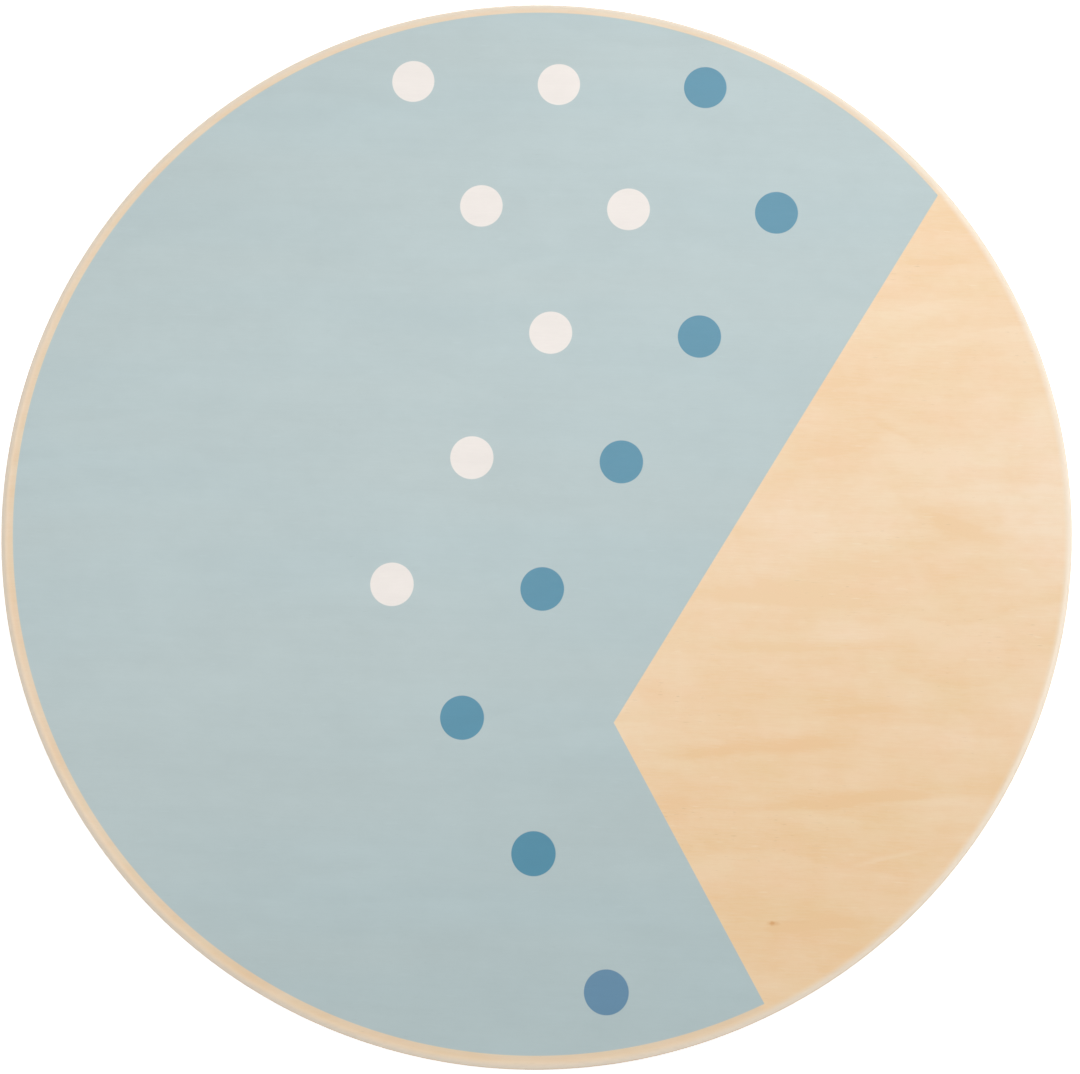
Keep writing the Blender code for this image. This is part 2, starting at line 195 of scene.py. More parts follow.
# How the noises are put together. A ring's rise and drop are parts of its width. A roughness is how far it
# swings and its middle. A relief is a height in metres.
VENEER_RINGS_PER_METRE = 48.0
RING_RISE = (0.10, 0.90)
RING_DROP = (1.0, 0.87)
RING_MEAN = 0.42
PLY_BAND_STRENGTH = 0.62
PRINT_BAND_STRENGTH = 0.30
FIBRE_HONEY = 0.75
GLINT_HONEY = -0.7
BAND_WARP_HEIGHT = 0.006
FLECK_STRENGTH = 0.35
BANDED_SPAN = (0.05, 1.05)
GRAIN_THROUGH_PAINT = (1.028, 0.972)
FLECKS_THROUGH_PAINT = -0.06
# The ply's edge is paler where it turns from flat: sanded wood and painted sheen.
PLY_SANDED_AND_SHEEN_TURN = (0.95, 0.60)
PLY_SANDED_AND_SHEEN_STRENGTH = 0.75
CHECK_SLANT = 0.7
CUT_ACROSS_TURN = (0.15, 0.95)
BEECH_RINGS_PER_METRE = 290.0
BEECH_HEART = (0.0, 0.042, -0.115)
BEECH_RING_RISE = (0.2, 0.92)
BEECH_RING_DROP = (1.0, 0.93)
BEECH_DARKNESS = 0.18
BEECH_FIBRE_SWING = 0.9
BEECH_RAY_STRENGTH = 0.45
RUBBER_PALE_SPAN = (0.35, 0.75)
RUBBER_PALE_STRENGTH = 0.35
METAL_SHADE_SPAN = (0.3, 0.7)
PRINT_ROUGHNESS = (0.10, 0.42)
BEECH_ROUGHNESS = (0.2, 0.37)
RUBBER_ROUGHNESS = (0.3, 0.62)
PLY_ROUGHNESS_SWING = 0.16
METAL_ROUGHNESS_SWING = 0.25
END_GRAIN_DULLNESS = 0.14
LACQUER_SPECULAR = 0.57
FIBRE_RELIEF = 0.00003
LACQUERED_RELIEF = 0.00001
TURNING_RELIEF = 0.00002
GRIT_RELIEF = 0.00008
METAL_RELIEF = 0.00001

# Sizes of the solids, as the CAD has them.
DECK_RADIUS = 0.1975
EDGE_ROUNDING = 0.003
DECK_HEIGHT = 0.070
DOME_BALL_RADIUS = 0.088
DOME_BAND = 0.006
DOME_BAND_CHAMFER = 0.0012
LIP_CHAMFER = 0.0008
PAD_PROUD = 0.0012
PAD_FLAT_RADIUS = 0.015
PAD_THICKNESS = 0.010
GROOVE_COUNT = 3
GROOVE_WIDTH = 0.0014
GROOVE_DEPTH = 0.0011
PAD_WELL_RADIUS = 0.0085
PAD_WELL_DEPTH = 0.0062
SCREW_COUNT = 4
SCREW_CIRCLE = 0.060
SCREW_RADIUS = 0.003
SCREW_HEAD_RADIUS = 0.005
SCREW_HEAD_HEIGHT = 0.006
SOCKET_RADIUS = 0.0029
SOCKET_DEPTH = 0.003
WASHER_RADIUS = 0.006
WASHER_THICKNESS = 0.0016
WOOD_UNDER_HEAD = 0.028
COUNTERBORE_RADIUS = 0.0072
INSERT_RADIUS = 0.0046
INSERT_LENGTH = 0.010
INSERT_FLANGE_RADIUS = 0.0062
INSERT_FLANGE = 0.001
INSERT_END_ROOM = 0.0008
PAD_SCREW_RADIUS = 0.002
PAD_SCREW_LENGTH = 0.022
PAD_SCREW_HEAD_RADIUS = 0.004
PAD_SCREW_HEAD_HEIGHT = 0.0024
PAD_SCREW_SOCKET_RADIUS = 0.0014
PAD_SCREW_SOCKET_DEPTH = 0.0013
PAD_WASHER_RADIUS = 0.0075
PAD_WASHER_THICKNESS = 0.0012
SEAT_GAP = 0.0003
SHANK_CLEARANCE = 0.0003
CUTTER_OVERRUN = 0.004

# Sizes that follow from those above.
DECK_BOTTOM, DECK_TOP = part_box("bottom_face_veneer")[0].z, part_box("top_face_veneer")[1].z
BALL_CENTRE = math.sqrt((DOME_BALL_RADIUS + PAD_PROUD) ** 2 - PAD_FLAT_RADIUS**2)
BAND_BOTTOM = DECK_HEIGHT - DOME_BAND
PAD_BALL_RADIUS = DOME_BALL_RADIUS + PAD_PROUD
PAD_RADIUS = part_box("crown_pad")[1].x
HEAD_SEAT = DECK_HEIGHT - WOOD_UNDER_HEAD
SCREW_SEAT = HEAD_SEAT - SEAT_GAP - WASHER_THICKNESS - SEAT_GAP
INSERT_BOTTOM = DECK_BOTTOM + SEAT_GAP
INSERT_TOP = INSERT_BOTTOM + INSERT_LENGTH
INSERT_HOLE_TOP = INSERT_TOP + INSERT_END_ROOM

# Small forms of the fasteners that the shown pieces add.
DOME_THREAD_DEPTH = 0.00045
DOME_THREAD_PITCH = 0.001
PAD_THREAD_DEPTH = 0.0006
PAD_THREAD_PITCH = 0.0018
PAD_THREAD_BOTTOM = 0.004
THREAD_SLOPE = 1.25
NECK_HEIGHT = 0.0003
NECK_FLARE = 0.0002
KNURLS = 36
KNURL_DEPTH = 0.00012
KNURL_DROP = 0.0008
KNURL_RUNOUT = 0.0001
PAD_HEAD_EASING = 0.00015
PAD_HEAD_BRIM = 0.0004

# More of them. A point is a share of its screw's radius, the easing of a dome screw's head a share of the
# head's height, and the rest are shares of a socket's radius. The hexagon starts that many flares up.
SCREW_POINT = 0.2
PAD_SCREW_POINT = 0.8
HEAD_EASING = 0.1
PAD_HEAD_MOUTH = 1.35
SOCKET_FLARE = 0.09
HEXAGON_START = 1.6
HEXAGON_END = 0.3
DRILL_WIDTH = 0.80
DRILL_EDGE = 0.28

# How finely the shown pieces are stepped, and how their edges are eased.
DECK_STEPS = 240
DOME_STEPS = 180
PAD_STEPS = 144
BORE_STEPS = 48
HEAD_STEPS = 108
SHANK_STEPS = 36
PAD_HEAD_STEPS = 8
PAD_LAND_STEPS = 4
RINGS_PER_THREAD = 8
ROUNDING_STEPS = 14
LEAST_RIM_STEP = 0.00004
BALL_STEP = math.radians(1.5)
CHAMFER_STEP = math.radians(18)
FINE_EASING = 0.0002
BORE_EASING = 0.0005
CORNER_STEPS = 3
SHARP_ABOVE = math.radians(32)
STEP_SLACK = 1e-6
ON_AXIS = 1e-7
LEVEL = 1e-9


# Node helpers.

def add(tree, kind, inputs=None, **settings):
    """A node with its settings, and its inputs set to values or linked to sockets."""
    node = tree.nodes.new(kind)
    for name, value in settings.items():
        setattr(node, name, value)
    for name, value in (inputs or {}).items():
        socket = node.inputs[name]
        if isinstance(value, bpy.types.NodeSocket):
            tree.links.new(value, socket)
        else:
            socket.default_value = value
    return node


def calc(tree, operation, first, second=0.0, third=0.0):
    return add(tree, "ShaderNodeMath", {0: first, 1: second, 2: third}, operation=operation).outputs[0]


def vector_calc(tree, operation, first, second):
    return add(tree, "ShaderNodeVectorMath", {0: first, 1: second}, operation=operation).outputs[0]


def vector_value(tree, operation, first, second):
    """A vector operation that gives one number, such as a distance."""
    node = add(tree, "ShaderNodeVectorMath", {0: first, 1: second}, operation=operation)
    return node.outputs["Value"]


def distance(tree, first, second):
    return vector_value(tree, "DISTANCE", first, second)


def apart(tree, vector):
    return add(tree, "ShaderNodeSeparateXYZ", {0: vector}).outputs


def together(tree, x, y, z):
    return add(tree, "ShaderNodeCombineXYZ", {0: x, 1: y, 2: z}).outputs[0]


def grey(tree, value):
    return add(tree, "ShaderNodeCombineColor", {channel: value for channel in range(3)}).outputs[0]


def between(tree, value, low, high, low_out=0.0, high_out=1.0, smooth=False):
    """Maps value from low..high to low_out..high_out, and holds it there beyond."""
    inputs = {"Value": value, "From Min": low, "From Max": high, "To Min": low_out, "To Max": high_out}
    kind = "SMOOTHSTEP" if smooth else "LINEAR"
    return add(tree, "ShaderNodeMapRange", inputs, interpolation_type=kind).outputs["Result"]


def mix(tree, factor, first, second, blend_type="MIX"):
    """Mixes two colours. Each is a socket or a linear colour."""
    node = add(tree, "ShaderNodeMix", data_type="RGBA", blend_type=blend_type)
    for name, value in (("Factor_Float", factor), ("A_Color", first), ("B_Color", second)):
        socket = next(s for s in node.inputs if s.identifier == name)
        if isinstance(value, bpy.types.NodeSocket):
            tree.links.new(value, socket)
        else:
            socket.default_value = value if name == "Factor_Float" else (*value, 1.0)
    return next(s for s in node.outputs if s.identifier == "Result_Color")


def noise(tree, vector, stretch, detail=2.0, roughness=0.5):
    """Noise from 0 to 1, most of it near 0.5, whose cells measure 1 / stretch metres along each axis."""
    scaled = vector_calc(tree, "MULTIPLY", vector, stretch)
    inputs = {"Vector": scaled, "Scale": 1.0, "Detail": detail, "Roughness": roughness}
    return add(tree, "ShaderNodeTexNoise", inputs).outputs["Fac"]


def graded(tree, vector, span, out, *kind):
    """A noise whose span is mapped to another span, and held there beyond."""
    return between(tree, noise(tree, vector, *kind), *span, *out)


def swing(tree, value, size, base=0.0):
    """base, plus value's swing about 0.5 times size."""
    return calc(tree, "MULTIPLY_ADD", calc(tree, "SUBTRACT", value, 0.5), size, base)


def swings(tree, vector, rows, value):
    """The value, moved by the noise of each row as far as the row says."""
    for size, *kind in rows:
        value = swing(tree, noise(tree, vector, *kind), size, value)
    return value


def bump(tree, shader, height, relief, normal=None):
    inputs = {"Height": height, "Distance": relief, "Strength": 1.0}
    if normal is not None:
        inputs["Normal"] = normal
    made = add(tree, "ShaderNodeBump", inputs).outputs["Normal"]
    tree.links.new(made, shader.inputs["Normal"])
    return made


def start_material(name):
    material = bpy.data.materials.new(name)
    material.use_nodes = True
    tree = material.node_tree
    shader = tree.nodes["Principled BSDF"]
    place = add(tree, "ShaderNodeTexCoord").outputs["Object"]
    return material, tree, shader, place


# Veneer.

def grain_space(tree, place, along, offset):
    """The place with its first axis turned along the grain, which runs along axis 0 or 1 of the object."""
    axes = apart(tree, vector_calc(tree, "ADD", place, offset))
    return together(tree, axes[along], axes[1 - along], axes[2])


def veneer_figure(tree, grain, band_strength):
    """How honey-coloured peeled veneer is, from 0 to 1, where it has dark flecks, and its fibres' height.

    A peeled veneer cuts the growth rings at a shallow angle. Each ring is a broad band that darkens slowly
    and ends at once, and the bands bend and run out into points where the log was uneven.
    """
    depth = calc(tree, "MULTIPLY", apart(tree, grain)[1], -VENEER_RINGS_PER_METRE)
    ring = calc(tree, "FRACT", swings(tree, grain, RING_SWINGS, depth))
    slow = between(tree, ring, *RING_RISE, smooth=True)
    ring = calc(tree, "MULTIPLY", slow, between(tree, ring, *RING_DROP, smooth=True))
    band = calc(tree, "SUBTRACT", ring, RING_MEAN)
    band = calc(tree, "MULTIPLY", band, graded(tree, grain, *RING_STRENGTH))
    honey = calc(tree, "MULTIPLY_ADD", band, band_strength, 0.5)
    honey = swings(tree, grain, VENEER_SWINGS, honey)
    fibres = noise(tree, grain, *VENEER_FIBRES)
    honey = swing(tree, fibres, FIBRE_HONEY, honey)
    honey = calc(tree, "MULTIPLY_ADD", graded(tree, grain, *GLINTS), GLINT_HONEY, honey)
    flecks = calc(tree, "MULTIPLY", graded(tree, grain, *FLECKS), graded(tree, grain, *FLECK_PATCHES))
    return between(tree, honey, 0.0, 1.0), flecks, fibres


def veneer_colour(tree, honey, flecks):
    wood = mix(tree, honey, PALE_WOOD, HONEY_WOOD)
    return mix(tree, calc(tree, "MULTIPLY", flecks, FLECK_STRENGTH), wood, FLECK_WOOD)


def half_plane(tree, flat, angle):
    """How far a place lies to the right of the wedge's edge that leaves the apex at an angle, in metres."""
    normal = Vector((math.sin(abs(angle)), -math.copysign(math.cos(angle), angle), 0.0))
    reach = normal.x * WEDGE_APEX[0] + normal.y * WEDGE_APEX[1]
    return calc(tree, "SUBTRACT", vector_value(tree, "DOT_PRODUCT", flat, normal), reach)


def dots(tree, flat, cells):
    """1 on each dot of the list, and 0 elsewhere."""
    nearest = None
    for column, row in cells:
        x = FIRST_DOT[0] + column * DOT_SPACING / 2
        y = FIRST_DOT[1] - row * DOT_SPACING * math.sqrt(3) / 2
        reach = distance(tree, flat, (x, y, 0.0))
        nearest = reach if nearest is None else calc(tree, "MINIMUM", nearest, reach)
    return between(tree, nearest, DOT_RADIUS + PRINT_EDGE, DOT_RADIUS - PRINT_EDGE)


def bands(tree, flat):
    """How much honey the wedge's own bands add."""
    warp = swing(tree, noise(tree, flat, *BAND_WARP), BAND_WARP_HEIGHT)
    axes = apart(tree, flat)
    height = calc(tree, "ADD", axes[1], warp)
    total = 0.0
    for (x, y), half_length, fade, rise, strength in WOOD_BANDS:
        along = calc(tree, "SUBTRACT", axes[0], x)
        above = calc(tree, "SUBTRACT", calc(tree, "MULTIPLY_ADD", along, -rise, height), y)
        above = calc(tree, "DIVIDE", above, fade)
        clear_edge = between(tree, above, -BAND_EDGE, BAND_EDGE, smooth=True)
        shade = calc(tree, "MULTIPLY", clear_edge, between(tree, above, 1.0, BAND_EDGE, smooth=True))
        from_middle = calc(tree, "ABSOLUTE", along)
        ends = between(tree, from_middle, half_length, half_length * BAND_CORE, smooth=True)
        total = calc(tree, "MULTIPLY_ADD", calc(tree, "MULTIPLY", shade, ends), strength, total)
    return total


def patches(tree, flat):
    """What the slow changes of the wedge's tone multiply its colour by."""
    pale = 0.5
    for (x, y), (half_width, half_height), strength in WOOD_PATCHES:
        away = vector_calc(tree, "SUBTRACT", flat, (x, y, 0.0))
        away = vector_calc(tree, "DIVIDE", away, (half_width, half_height, 1.0))
        near = between(tree, distance(tree, away, (0.0, 0.0, 0.0)), 1.0, PATCH_CORE, smooth=True)
        pale = calc(tree, "MULTIPLY_ADD", near, strength, pale)
    return mix(tree, pale, HONEY_TONE, PALE_TONE)


def pin_knot(tree, flat, wood):
    """The wood with a pin knot a few millimetres long in it."""
    away = vector_calc(tree, "SUBTRACT", flat, KNOT_PLACE)
    ragged = noise(tree, away, *KNOT_RAGS)
    knot = 0.0
    for offset, stretch, raggedness, (start, full), strength in KNOT_PARTS:
        part = vector_calc(tree, "SUBTRACT", away, (*offset, 0.0))
        part = vector_calc(tree, "MULTIPLY", part, (*stretch, 1.0))
        reach = swing(tree, ragged, raggedness, distance(tree, part, (0.0, 0.0, 0.0)))
        shade = between(tree, reach, start, full, 0.0, strength, smooth=True)
        knot = calc(tree, "MAXIMUM", knot, shade)
    return mix(tree, knot, wood, KNOT_WOOD)


def bare_wood(tree, flat, honey, flecks):
    """The face veneer where it isn't printed. It is paler along the rim: sanded, with painted sheen."""
    banded = between(tree, calc(tree, "ADD", honey, bands(tree, flat)), *BANDED_SPAN)
    drift = mix(tree, graded(tree, flat, *TONE_DRIFT), ROSY_DRIFT, GREENISH_DRIFT)
    wood = mix(tree, 1.0, veneer_colour(tree, banded, flecks), drift, "MULTIPLY")
    wood = mix(tree, 1.0, wood, patches(tree, flat), "MULTIPLY")
    wood = pin_knot(tree, flat, wood)
    from_rim = calc(tree, "SUBTRACT", DECK_RADIUS, distance(tree, flat, (0.0, 0.0, 0.0)))
    # Painted sheen and sanding: the rim is paler close to its edge.
    sanded_and_sheen = between(tree, from_rim, *SANDED_AND_SHEEN_RIM, 0.0, SANDED_AND_SHEEN_RIM_STRENGTH, smooth=True)
    return mix(tree, sanded_and_sheen, wood, EDGE_WOOD_AND_SHEEN)


def print_colour(tree, flat, honey, flecks):
    """The paint of the field and its dots, with the veneer showing faintly through."""
    paint = mix(tree, graded(tree, flat, *PAINT_CLOUD), FIELD_PAINT, COOL_FIELD_PAINT)
    for cells, colour in ((WHITE_DOTS, WHITE_PAINT), (BLUE_DOTS, BLUE_PAINT), (VIOLET_DOTS, VIOLET_PAINT)):
        paint = mix(tree, dots(tree, flat, cells), paint, colour)
    showing = between(tree, honey, 0.0, 1.0, *GRAIN_THROUGH_PAINT)
    showing = calc(tree, "MULTIPLY_ADD", flecks, FLECKS_THROUGH_PAINT, showing)
    showing = swings(tree, flat, PAINT_SWINGS, showing)
    return mix(tree, 1.0, paint, grey(tree, showing), "MULTIPLY")


def printed_veneer():
    """The face veneer. A faint halo of ink lies on the bare ring beside the field."""
    material, tree, shader, place = start_material("printed_veneer")
    grain = grain_space(tree, place, along=0, offset=(0.31, 0.17, 0.0))
    honey, flecks, fibres = veneer_figure(tree, grain, PRINT_BAND_STRENGTH)
    flat = vector_calc(tree, "MULTIPLY", place, (1.0, 1.0, 0.0))
    inside = calc(tree, "SUBTRACT", FIELD_RADIUS, distance(tree, flat, (*FIELD_CENTRE, 0.0)))
    bare = calc(tree, "MINIMUM", *(half_plane(tree, flat, side * WEDGE_HALF_ANGLE) for side in (1, -1)))
    painted = calc(tree, "MINIMUM", inside, calc(tree, "MULTIPLY", bare, -1.0))
    cover = between(tree, painted, -PRINT_EDGE, PRINT_EDGE)
    halo = between(tree, inside, -INK_HALO[0], -INK_HALO[1], 0.0, INK_HALO_STRENGTH, smooth=True)
    halo = calc(tree, "MULTIPLY", halo, between(tree, bare, 0.0, -INK_HALO[0]))
    wood = mix(tree, halo, bare_wood(tree, flat, honey, flecks), FIELD_PAINT)
    colour = mix(tree, cover, wood, print_colour(tree, flat, honey, flecks))
    tree.links.new(colour, shader.inputs["Base Color"])
    tree.links.new(swing(tree, fibres, *PRINT_ROUGHNESS), shader.inputs["Roughness"])
    shader.inputs["Specular IOR Level"].default_value = LACQUER_SPECULAR
    bump(tree, shader, fibres, LACQUERED_RELIEF)
    return material


def ply(name, along, offset, roughness):
    """Veneer whose face and sanded edge are seen. The edge is paler: sanded wood with painted sheen.

    Where the edge cuts the fibres across, it is darker and duller, and shows open pores and the slanted
    checks that the peeling knife leaves.
    """
    material, tree, shader, place = start_material(name)
    grain = grain_space(tree, place, along, offset)
    honey, flecks, fibres = veneer_figure(tree, grain, PLY_BAND_STRENGTH)
    normal = apart(tree, add(tree, "ShaderNodeNewGeometry").outputs["Normal"])
    flatness = calc(tree, "ABSOLUTE", normal[2])
    # Painted sheen and sanding: the edge is paler where it turns away from flat.
    sanded_and_sheen = between(tree, flatness, *PLY_SANDED_AND_SHEEN_TURN, 0.0, PLY_SANDED_AND_SHEEN_STRENGTH)
    side_on = mix(tree, sanded_and_sheen, veneer_colour(tree, honey, flecks), EDGE_WOOD_AND_SHEEN)
    axes = apart(tree, grain)
    slanted = calc(tree, "MULTIPLY_ADD", axes[2], CHECK_SLANT, axes[1])
    slanted = together(tree, axes[0], slanted, axes[2])
    checks = graded(tree, slanted, *PEELING_CHECKS)
    open_grain = calc(tree, "MAXIMUM", checks, graded(tree, grain, *PORES))
    mottle = grey(tree, graded(tree, grain, *END_MOTTLE))
    end_grain = mix(tree, 1.0, side_on, END_GRAIN_TINT, "MULTIPLY")
    end_grain = mix(tree, 1.0, end_grain, mottle, "MULTIPLY")
    end_grain = mix(tree, open_grain, end_grain, PORE_WOOD)
    cut_across = between(tree, calc(tree, "ABSOLUTE", normal[along]), *CUT_ACROSS_TURN)
    tree.links.new(mix(tree, cut_across, side_on, end_grain), shader.inputs["Base Color"])
    dull = calc(tree, "MULTIPLY_ADD", cut_across, END_GRAIN_DULLNESS, roughness)
    tree.links.new(swing(tree, fibres, PLY_ROUGHNESS_SWING, dull), shader.inputs["Roughness"])
    bump(tree, shader, fibres, FIBRE_RELIEF)
    return material


# Other finishes.

def turned_beech():
    """Beech with fine rings about a heart below the dome, short dark ray flecks and turning marks."""
    material, tree, shader, place = start_material("turned_beech")
    across = vector_calc(tree, "MULTIPLY", place, (0.0, 1.0, 1.0))
    depth = calc(tree, "MULTIPLY", distance(tree, across, BEECH_HEART), BEECH_RINGS_PER_METRE)
    ring = calc(tree, "FRACT", swings(tree, place, BEECH_RING_SWINGS, depth))
    slow = between(tree, ring, *BEECH_RING_RISE, smooth=True)
    ring = calc(tree, "MULTIPLY", slow, between(tree, ring, *BEECH_RING_DROP))
    dark = calc(tree, "MULTIPLY", ring, graded(tree, place, *BEECH_RING_STRENGTH))
    dark = swings(tree, place, BEECH_SWINGS, calc(tree, "ADD", dark, BEECH_DARKNESS))
    fibres = noise(tree, place, *BEECH_FIBRES)
    dark = swing(tree, fibres, BEECH_FIBRE_SWING, dark)
    wood = mix(tree, between(tree, dark, 0.0, 1.0), BEECH, DARK_BEECH)
    rays = calc(tree, "MULTIPLY", graded(tree, place, *BEECH_RAYS), BEECH_RAY_STRENGTH)
    wood = mix(tree, rays, wood, RAY_WOOD)
    tree.links.new(wood, shader.inputs["Base Color"])
    tree.links.new(swing(tree, fibres, *BEECH_ROUGHNESS), shader.inputs["Roughness"])
    turned_normal = bump(tree, shader, noise(tree, place, *TURNING_MARKS), TURNING_RELIEF)
    bump(tree, shader, fibres, FIBRE_RELIEF, normal=turned_normal)
    return material


def rubber():
    material, tree, shader, place = start_material("black_rubber")
    cloud = noise(tree, place, *RUBBER_CLOUD)
    pale = between(tree, cloud, *RUBBER_PALE_SPAN, 0.0, RUBBER_PALE_STRENGTH)
    tree.links.new(mix(tree, pale, RUBBER, PALE_RUBBER), shader.inputs["Base Color"])
    tree.links.new(swing(tree, cloud, *RUBBER_ROUGHNESS), shader.inputs["Roughness"])
    bump(tree, shader, noise(tree, place, *RUBBER_GRIT), GRIT_RELIEF)
    return material


def metal(name, colour, roughness):
    """Plated or machined metal, a little uneven, with fine marks round its axis."""
    material, tree, shader, place = start_material(name)
    cloud = noise(tree, place, *METAL_CLOUD)
    shade = between(tree, cloud, *METAL_SHADE_SPAN)
    dull_colour = [DULL_METAL * c for c in colour]
    tree.links.new(mix(tree, shade, dull_colour, colour), shader.inputs["Base Color"])
    tree.links.new(swing(tree, cloud, METAL_ROUGHNESS_SWING, roughness), shader.inputs["Roughness"])
    shader.inputs["Metallic"].default_value = 1.0
    bump(tree, shader, noise(tree, place, *METAL_MARKS), METAL_RELIEF)
    return material


finishes = {
    "printed_veneer": printed_veneer(),
    "long_grain_ply": ply("long_grain_ply", along=0, offset=(0.73, 0.41, 0.2), roughness=0.42),
    "cross_grain_ply": ply("cross_grain_ply", along=1, offset=(0.27, 0.95, 0.1), roughness=0.46),
    "turned_beech": turned_beech(),
    "black_rubber": rubber(),
    "zinc_plated_steel": metal("zinc_plated_steel", ZINC, roughness=0.28),
    "brass": metal("brass", BRASS, roughness=0.30),
}
slot_of = {row["node"]: row["material_slot"] for row in frame["record"]["subparts"]}
for node, slot in slot_of.items():
    cad_materials = frame["nodes"][node].data.materials
    cad_materials.clear()
    cad_materials.append(finishes[slot])


# Shapes. A ring is a list of points at even turns about a vertical axis, or one point on that axis.

def circle(radius, height, steps):
    if radius < ON_AXIS:
        return [(0.0, 0.0, height)]
    turns = [2 * math.pi * i / steps for i in range(steps)]
    return [(radius * math.cos(a), radius * math.sin(a), height) for a in turns]


def circles(profile, steps):
    return [circle(radius, height, steps) for radius, height in profile]


def hexagon(corner_radius, height, steps):
    """A ring that follows a hexagon, with a point at each corner."""
    flat = corner_radius * math.cos(math.pi / 6)
    points = []
    for i in range(steps):
        a = 2 * math.pi * i / steps
        radius = flat / math.cos(a % (math.pi / 3) - math.pi / 6)
        points.append((radius * math.cos(a), radius * math.sin(a), height))
    return points


def knurled(radius, height, steps):
    """A ring with ridges all round, each of them as many steps as there are to a knurl."""
    per_knurl = steps // KNURLS
    points = []
    for i, (x, y, z) in enumerate(circle(radius, height, steps)):
        inward = 1 - KNURL_DEPTH / radius * (i % per_knurl == 0)
        points.append((x * inward, y * inward, z))
    return points


def stretch_of(ring, index, count):
    """One of the ring's count equal stretches, with the points at both of its ends."""
    first, last = index * len(ring) // count, (index + 1) * len(ring) // count
    return [ring[k % len(ring)] for k in range(first, last + 1)]


def skin(name, rings, finish, closed=False):
    """A mesh through the rings, from the top down the outside and back up the inside.

    A single point level with the ring beside it makes a flat cap. A ring may have a whole multiple of the
    points of the ring beside it.
    """
    vertices, numbers = [], []
    for ring in rings:
        numbers.append(list(range(len(vertices), len(vertices) + len(ring))))
        vertices.extend(ring)
    faces = []
    pairs = list(zip(numbers, numbers[1:]))
    if closed:
        pairs.append((numbers[-1], numbers[0]))
    for upper, lower in pairs:
        if len(upper) == 1 or len(lower) == 1:
            is_top = len(upper) == 1
            point, ring = (upper[0], lower) if is_top else (lower[0], upper)
            if abs(vertices[point][2] - vertices[ring[0]][2]) < LEVEL:
                faces.append(tuple(ring) if is_top else tuple(reversed(ring)))
                continue
            for i, here in enumerate(ring):
                after = ring[(i + 1) % len(ring)]
                faces.append((point, here, after) if is_top else (point, after, here))
            continue
        count = min(len(upper), len(lower))
        for i in range(count):
            faces.append((*reversed(stretch_of(upper, i, count)), *stretch_of(lower, i, count)))
    mesh = bpy.data.meshes.new(name)
    mesh.from_pydata(vertices, [], faces)
    mesh.materials.append(finish)
    made = bpy.data.objects.new(name, mesh)
    bpy.context.scene.collection.objects.link(made)
    return drop_loose(made)


def drop_loose(piece):
    """Removes points that no face uses, such as the middle of a flat cap."""
    used = {v for face in piece.data.polygons for v in face.vertices}
    if len(used) < len(piece.data.vertices):
        kept = sorted(used)
        new_number = {old: new for new, old in enumerate(kept)}
        vertices = [piece.data.vertices[v].co[:] for v in kept]
        faces = [tuple(new_number[v] for v in face.vertices) for face in piece.data.polygons]
        finish = piece.data.materials[0] if piece.data.materials else None
        piece.data.clear_geometry()
        piece.data.from_pydata(vertices, [], faces)
        if finish and not piece.data.materials:
            piece.data.materials.append(finish)
    return piece


def carved(piece, cutters):
    """Takes the cutters out of the piece and removes them."""
    group = bpy.data.collections.new(piece.name + "_cutters")
    bpy.context.scene.collection.children.link(group)
    for cutter in cutters:
        bpy.context.scene.collection.objects.unlink(cutter)
        group.objects.link(cutter)
    modifier = piece.modifiers.new("Cut", "BOOLEAN")
    modifier.operation = "DIFFERENCE"
    modifier.solver = "EXACT"
    modifier.operand_type = "COLLECTION"
    modifier.collection = group
    graph = bpy.context.evaluated_depsgraph_get()
    mesh = bpy.data.meshes.new_from_object(piece.evaluated_get(graph))
    piece.modifiers.clear()
    piece.data = mesh
    for cutter in cutters:
        bpy.data.objects.remove(cutter, do_unlink=True)
    bpy.data.collections.remove(group)
    return piece


def show(piece, node, place=(0.0, 0.0, 0.0), turn=0.0):
    """Puts the piece where its node is, smooths its round faces, and shows it for the node."""
    mesh = piece.data
    mesh.transform(Matrix.Translation(place) @ Matrix.Rotation(turn, 4, "Z"))
    mesh.shade_smooth()
    mesh.set_sharp_from_angle(angle=SHARP_ABOVE)
    weighted = piece.modifiers.new("Even shading", "WEIGHTED_NORMAL")
    weighted.keep_sharp = True
    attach(piece, "root")
    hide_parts(node)
    return piece


def arc(centre, radius, start, end, step):
    """Points on an arc in the (radius, height) plane, both ends included. Angles run from outward to up."""
    count = max(1, math.ceil(abs(end - start) / step - STEP_SLACK))
    turns = [start + (end - start) * i / count for i in range(count + 1)]
    return [(centre[0] + radius * math.cos(a), centre[1] + radius * math.sin(a)) for a in turns]


def eased(profile, easing, corners):
    """The profile with the named corners rounded off."""
    points = []
    for i, point in enumerate(profile):
        if i not in corners:
            points.append(point)
            continue
        here = Vector(point)
        before = Vector(profile[i - 1]) - here
        after = Vector(profile[(i + 1) % len(profile)]) - here
        first = here + before.normalized() * easing
        last = here + after.normalized() * easing
        for k in range(CORNER_STEPS + 1):
            t = k / CORNER_STEPS
            points.append(tuple((1 - t) ** 2 * first + 2 * t * (1 - t) * here + t**2 * last))
    return points


def screw_places():
    for index in range(SCREW_COUNT):
        angle = 2 * math.pi * (index + 0.5) / SCREW_COUNT
        yield index + 1, (SCREW_CIRCLE * math.cos(angle), SCREW_CIRCLE * math.sin(angle)), angle


# Deck.

def edge_radius(height):
    """The deck's radius at a height: straight in the middle, rounded towards its top and its bottom."""
    drop = max(0.0, EDGE_ROUNDING - min(DECK_TOP - height, height - DECK_BOTTOM))
    return DECK_RADIUS - EDGE_ROUNDING + math.sqrt(max(0.0, EDGE_ROUNDING**2 - drop**2))


